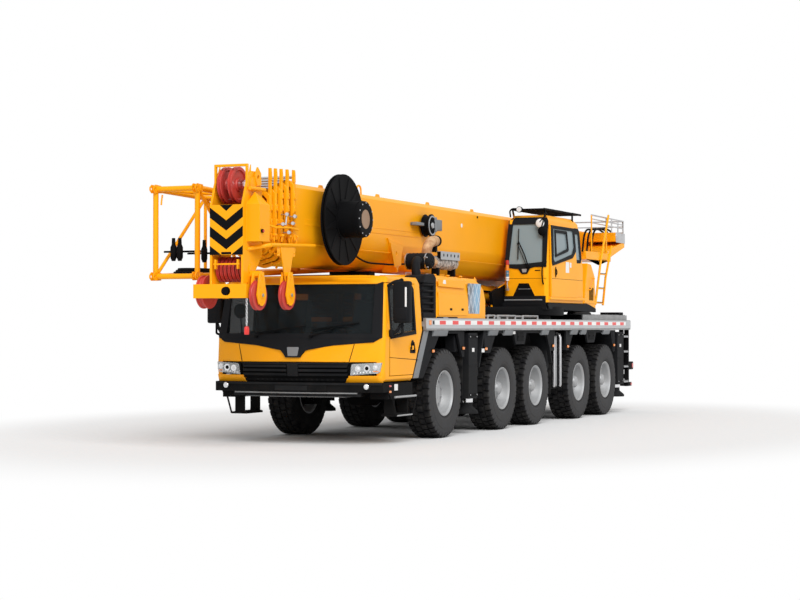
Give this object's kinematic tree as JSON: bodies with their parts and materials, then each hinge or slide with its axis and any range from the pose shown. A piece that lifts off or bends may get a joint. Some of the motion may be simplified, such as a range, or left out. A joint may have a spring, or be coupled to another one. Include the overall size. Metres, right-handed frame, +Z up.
{
  "type": "all-terrain mobile crane",
  "caption": "Road-going mobile crane in travel order: multi-axle carrier with cab and outriggers, slewing upper with operator's cab, telescopic boom and folded side jib.",
  "frame": {"origin": "on the ground under the middle of the crane's overall box", "axes": "+X towards the driving direction, +Y to the driver's left, +Z up"},
  "size_m": [14.75, 3.27, 3.911],
  "materials": {
    "crane_yellow": "gloss crane paint",
    "frame_black": "satin chassis paint",
    "deck_grey": "worn chequer plate",
    "bright_metal": "ground rod",
    "tyre": "matt rubber",
    "cab_glass": "tinted glass",
    "sheave_red": "satin paint",
    "cab_trim": "grained plastic"
  },
  "bodies": {
    "carrier": {"chassis_frame": "frame_black", "axles_and_shafts": "frame_black", "deck": "deck_grey", "mudguards_left": "frame_black", "mudguards_right": "frame_black", "rear_bumper": "frame_black", "cab": "crane_yellow", "cab_windscreen": "cab_glass", "front_bumper": "frame_black", "cab_interior": "cab_trim", "engine": "frame_black", "engine_hood": "crane_yellow", "exhaust_and_intake": "frame_black"},
    "knuckle_1_left": {"knuckle_1_left": "frame_black"},
    "wheel_1_left": {"wheel_1_left": "tyre"},
    "knuckle_1_right": {"knuckle_1_right": "frame_black"},
    "wheel_1_right": {"wheel_1_right": "tyre"},
    "knuckle_2_left": {"knuckle_2_left": "frame_black"},
    "wheel_2_left": {"wheel_2_left": "tyre"},
    "knuckle_2_right": {"knuckle_2_right": "frame_black"},
    "wheel_2_right": {"wheel_2_right": "tyre"},
    "wheel_3_left": {"wheel_3_left": "tyre"},
    "wheel_3_right": {"wheel_3_right": "tyre"},
    "knuckle_4_left": {"knuckle_4_left": "frame_black"},
    "wheel_4_left": {"wheel_4_left": "tyre"},
    "knuckle_4_right": {"knuckle_4_right": "frame_black"},
    "wheel_4_right": {"wheel_4_right": "tyre"},
    "knuckle_5_left": {"knuckle_5_left": "frame_black"},
    "wheel_5_left": {"wheel_5_left": "tyre"},
    "knuckle_5_right": {"knuckle_5_right": "frame_black"},
    "wheel_5_right": {"wheel_5_right": "tyre"},
    "cab_door_left": {"cab_door_left": "crane_yellow"},
    "cab_door_right": {"cab_door_right": "crane_yellow"},
    "outrigger_front_left": {"outrigger_beam_front_left": "frame_black"},
    "jack_front_left": {"outrigger_jack_front_left": "frame_black"},
    "outrigger_front_right": {"outrigger_beam_front_right": "frame_black"},
    "jack_front_right": {"outrigger_jack_front_right": "frame_black"},
    "outrigger_rear_left": {"outrigger_beam_rear_left": "frame_black"},
    "jack_rear_left": {"outrigger_jack_rear_left": "frame_black"},
    "outrigger_rear_right": {"outrigger_beam_rear_right": "frame_black"},
    "jack_rear_right": {"outrigger_jack_rear_right": "frame_black"},
    "superstructure": {"superstructure_frame": "crane_yellow"},
    "hoist_winch": {"hoist_winch": "crane_yellow"},
    "operator_cab": {"operator_cab": "crane_yellow", "operator_seat": "cab_trim", "operator_windscreen": "cab_glass"},
    "operator_door": {"operator_door": "crane_yellow"},
    "boom": {"boom_base": "crane_yellow", "length_sensor": "frame_black", "folding_jib": "crane_yellow"},
    "boom_section_1": {"boom_section_1": "crane_yellow"},
    "boom_section_2": {"boom_section_2": "crane_yellow"},
    "boom_section_3": {"boom_section_3": "crane_yellow"},
    "boom_section_4": {"boom_section_4": "crane_yellow"},
    "boom_head_section": {"boom_head_section": "crane_yellow"},
    "head_sheaves_upper": {"head_sheaves_upper": "sheave_red"},
    "head_sheaves_lower": {"head_sheaves_lower": "sheave_red"},
    "cable_reel": {"cable_reel": "frame_black"},
    "lift_barrel": {"lift_barrel": "crane_yellow"},
    "lift_rod": {"lift_rod": "bright_metal"}
  },
  "joints": [
    {"name": "steer_1_left", "type": "hinge", "parent": "carrier", "child": "knuckle_1_left", "pos_m": [2.95, 0.985, 0.68151], "axis": [0, 0, 1], "range_deg": [-35, 35]},
    {"name": "roll_1_left", "type": "hinge", "parent": "knuckle_1_left", "child": "wheel_1_left", "pos_m": [2.95, 1.1525, 0.68151], "axis": [0, 1, 0], "continuous": true},
    {"name": "steer_1_right", "type": "hinge", "parent": "carrier", "child": "knuckle_1_right", "pos_m": [2.95, -0.985, 0.68151], "axis": [0, 0, 1], "range_deg": [-35, 35]},
    {"name": "roll_1_right", "type": "hinge", "parent": "knuckle_1_right", "child": "wheel_1_right", "pos_m": [2.95, -1.1525, 0.68151], "axis": [0, 1, 0], "continuous": true},
    {"name": "steer_2_left", "type": "hinge", "parent": "carrier", "child": "knuckle_2_left", "pos_m": [0.42, 0.985, 0.68151], "axis": [0, 0, 1], "range_deg": [-15.4, 15.4]},
    {"name": "roll_2_left", "type": "hinge", "parent": "knuckle_2_left", "child": "wheel_2_left", "pos_m": [0.42, 1.1525, 0.68151], "axis": [0, 1, 0], "continuous": true},
    {"name": "steer_2_right", "type": "hinge", "parent": "carrier", "child": "knuckle_2_right", "pos_m": [0.42, -0.985, 0.68151], "axis": [0, 0, 1], "range_deg": [-15.4, 15.4]},
    {"name": "roll_2_right", "type": "hinge", "parent": "knuckle_2_right", "child": "wheel_2_right", "pos_m": [0.42, -1.1525, 0.68151], "axis": [0, 1, 0], "continuous": true},
    {"name": "roll_3_left", "type": "hinge", "parent": "carrier", "child": "wheel_3_left", "pos_m": [-1.23, 1.1525, 0.68151], "axis": [0, 1, 0], "continuous": true},
    {"name": "roll_3_right", "type": "hinge", "parent": "carrier", "child": "wheel_3_right", "pos_m": [-1.23, -1.1525, 0.68151], "axis": [0, 1, 0], "continuous": true},
    {"name": "steer_4_left", "type": "hinge", "parent": "carrier", "child": "knuckle_4_left", "pos_m": [-3.62, 0.985, 0.68151], "axis": [0, 0, 1], "range_deg": [-21.7, 21.7]},
    {"name": "roll_4_left", "type": "hinge", "parent": "knuckle_4_left", "child": "wheel_4_left", "pos_m": [-3.62, 1.1525, 0.68151], "axis": [0, 1, 0], "continuous": true},
    {"name": "steer_4_right", "type": "hinge", "parent": "carrier", "child": "knuckle_4_right", "pos_m": [-3.62, -0.985, 0.68151], "axis": [0, 0, 1], "range_deg": [-21.7, 21.7]},
    {"name": "roll_4_right", "type": "hinge", "parent": "knuckle_4_right", "child": "wheel_4_right", "pos_m": [-3.62, -1.1525, 0.68151], "axis": [0, 1, 0], "continuous": true},
    {"name": "steer_5_left", "type": "hinge", "parent": "carrier", "child": "knuckle_5_left", "pos_m": [-5.27, 0.985, 0.68151], "axis": [0, 0, 1], "range_deg": [-33.95, 33.95]},
    {"name": "roll_5_left", "type": "hinge", "parent": "knuckle_5_left", "child": "wheel_5_left", "pos_m": [-5.27, 1.1525, 0.68151], "axis": [0, 1, 0], "continuous": true},
    {"name": "steer_5_right", "type": "hinge", "parent": "carrier", "child": "knuckle_5_right", "pos_m": [-5.27, -0.985, 0.68151], "axis": [0, 0, 1], "range_deg": [-33.95, 33.95]},
    {"name": "roll_5_right", "type": "hinge", "parent": "knuckle_5_right", "child": "wheel_5_right", "pos_m": [-5.27, -1.1525, 0.68151], "axis": [0, 1, 0], "continuous": true},
    {"name": "open_cab_door_left", "type": "hinge", "parent": "carrier", "child": "cab_door_left", "pos_m": [5.05, 1.362, 1.6], "axis": [0, 0, -1], "range_deg": [0, 70]},
    {"name": "open_cab_door_right", "type": "hinge", "parent": "carrier", "child": "cab_door_right", "pos_m": [5.05, -1.362, 1.6], "axis": [0, 0, 1], "range_deg": [0, 70]},
    {"name": "extend_outrigger_front_left", "type": "slide", "parent": "carrier", "child": "outrigger_front_left", "axis": [0, 1, 0], "range_m": [0, 1.75]},
    {"name": "lower_jack_front_left", "type": "slide", "parent": "outrigger_front_left", "child": "jack_front_left", "axis": [0, 0, -1], "range_m": [0, 0.6]},
    {"name": "extend_outrigger_front_right", "type": "slide", "parent": "carrier", "child": "outrigger_front_right", "axis": [0, -1, 0], "range_m": [0, 1.75]},
    {"name": "lower_jack_front_right", "type": "slide", "parent": "outrigger_front_right", "child": "jack_front_right", "axis": [0, 0, -1], "range_m": [0, 0.6]},
    {"name": "extend_outrigger_rear_left", "type": "slide", "parent": "carrier", "child": "outrigger_rear_left", "axis": [0, 1, 0], "range_m": [0, 1.75]},
    {"name": "lower_jack_rear_left", "type": "slide", "parent": "outrigger_rear_left", "child": "jack_rear_left", "axis": [0, 0, -1], "range_m": [0, 0.6]},
    {"name": "extend_outrigger_rear_right", "type": "slide", "parent": "carrier", "child": "outrigger_rear_right", "axis": [0, -1, 0], "range_m": [0, 1.75]},
    {"name": "lower_jack_rear_right", "type": "slide", "parent": "outrigger_rear_right", "child": "jack_rear_right", "axis": [0, 0, -1], "range_m": [0, 0.6]},
    {"name": "slew", "type": "hinge", "parent": "carrier", "child": "superstructure", "pos_m": [-2.45, 0, 1.9], "axis": [0, 0, 1], "continuous": true},
    {"name": "wind_hoist", "type": "hinge", "parent": "superstructure", "child": "hoist_winch", "pos_m": [-6.15, 0, 3.38], "axis": [0, 1, 0], "continuous": true},
    {"name": "tilt_operator_cab", "type": "hinge", "parent": "superstructure", "child": "operator_cab", "pos_m": [-4.04, 0.9, 2.15], "axis": [0, -1, 0], "range_deg": [0, 20]},
    {"name": "slide_operator_door", "type": "slide", "parent": "operator_cab", "child": "operator_door", "axis": [-1, 0, 0], "range_m": [0, 0.7]},
    {"name": "luff_boom", "type": "hinge", "parent": "superstructure", "child": "boom", "pos_m": [-4.95, 0, 3.2], "axis": [0, -1, 0], "range_deg": [0, 82]},
    {"name": "extend_boom_section_1", "type": "slide", "parent": "boom", "child": "boom_section_1", "axis": [1, 0, 0], "range_m": [0, 8.5]},
    {"name": "extend_boom_section_2", "type": "slide", "parent": "boom_section_1", "child": "boom_section_2", "axis": [1, 0, 0], "range_m": [0, 8.5]},
    {"name": "extend_boom_section_3", "type": "slide", "parent": "boom_section_2", "child": "boom_section_3", "axis": [1, 0, 0], "range_m": [0, 8.5]},
    {"name": "extend_boom_section_4", "type": "slide", "parent": "boom_section_3", "child": "boom_section_4", "axis": [1, 0, 0], "range_m": [0, 8.5]},
    {"name": "extend_boom_head", "type": "slide", "parent": "boom_section_4", "child": "boom_head_section", "axis": [1, 0, 0], "range_m": [0, 8.5]},
    {"name": "turn_head_sheaves_upper", "type": "hinge", "parent": "boom_head_section", "child": "head_sheaves_upper", "pos_m": [7.11, 0, 3.62], "axis": [0, 1, 0], "continuous": true},
    {"name": "turn_head_sheaves_lower", "type": "hinge", "parent": "boom_head_section", "child": "head_sheaves_lower", "pos_m": [7.16, 0, 2.47], "axis": [0, 1, 0], "continuous": true},
    {"name": "turn_cable_reel", "type": "hinge", "parent": "boom", "child": "cable_reel", "pos_m": [5.07, 0.8, 3.24], "axis": [0, 1, 0], "continuous": true},
    {"name": "swing_lift_barrel", "type": "hinge", "parent": "superstructure", "child": "lift_barrel", "pos_m": [-3.05, 0, 2.26], "axis": [0, -1, 0], "range_deg": [0, 91.44]},
    {"name": "extend_lift_rod", "type": "slide", "parent": "lift_barrel", "child": "lift_rod", "axis": [0.9996, 0, 0.0294], "range_m": [0, 2.68]}
  ],
  "couplings": [
    {"joint": "steer_1_right", "follows": "steer_1_left", "ratio": 1},
    {"joint": "steer_2_left", "follows": "steer_1_left", "ratio": 0.44},
    {"joint": "steer_2_right", "follows": "steer_1_left", "ratio": 0.44},
    {"joint": "steer_4_left", "follows": "steer_1_left", "ratio": -0.62},
    {"joint": "steer_4_right", "follows": "steer_1_left", "ratio": -0.62},
    {"joint": "steer_5_left", "follows": "steer_1_left", "ratio": -0.97},
    {"joint": "steer_5_right", "follows": "steer_1_left", "ratio": -0.97},
    {"joint": "swing_lift_barrel", "follows": "luff_boom", "ratio": 1.115},
    {"joint": "extend_lift_rod", "follows": "luff_boom", "m_per_rad": 1.8719}
  ]
}
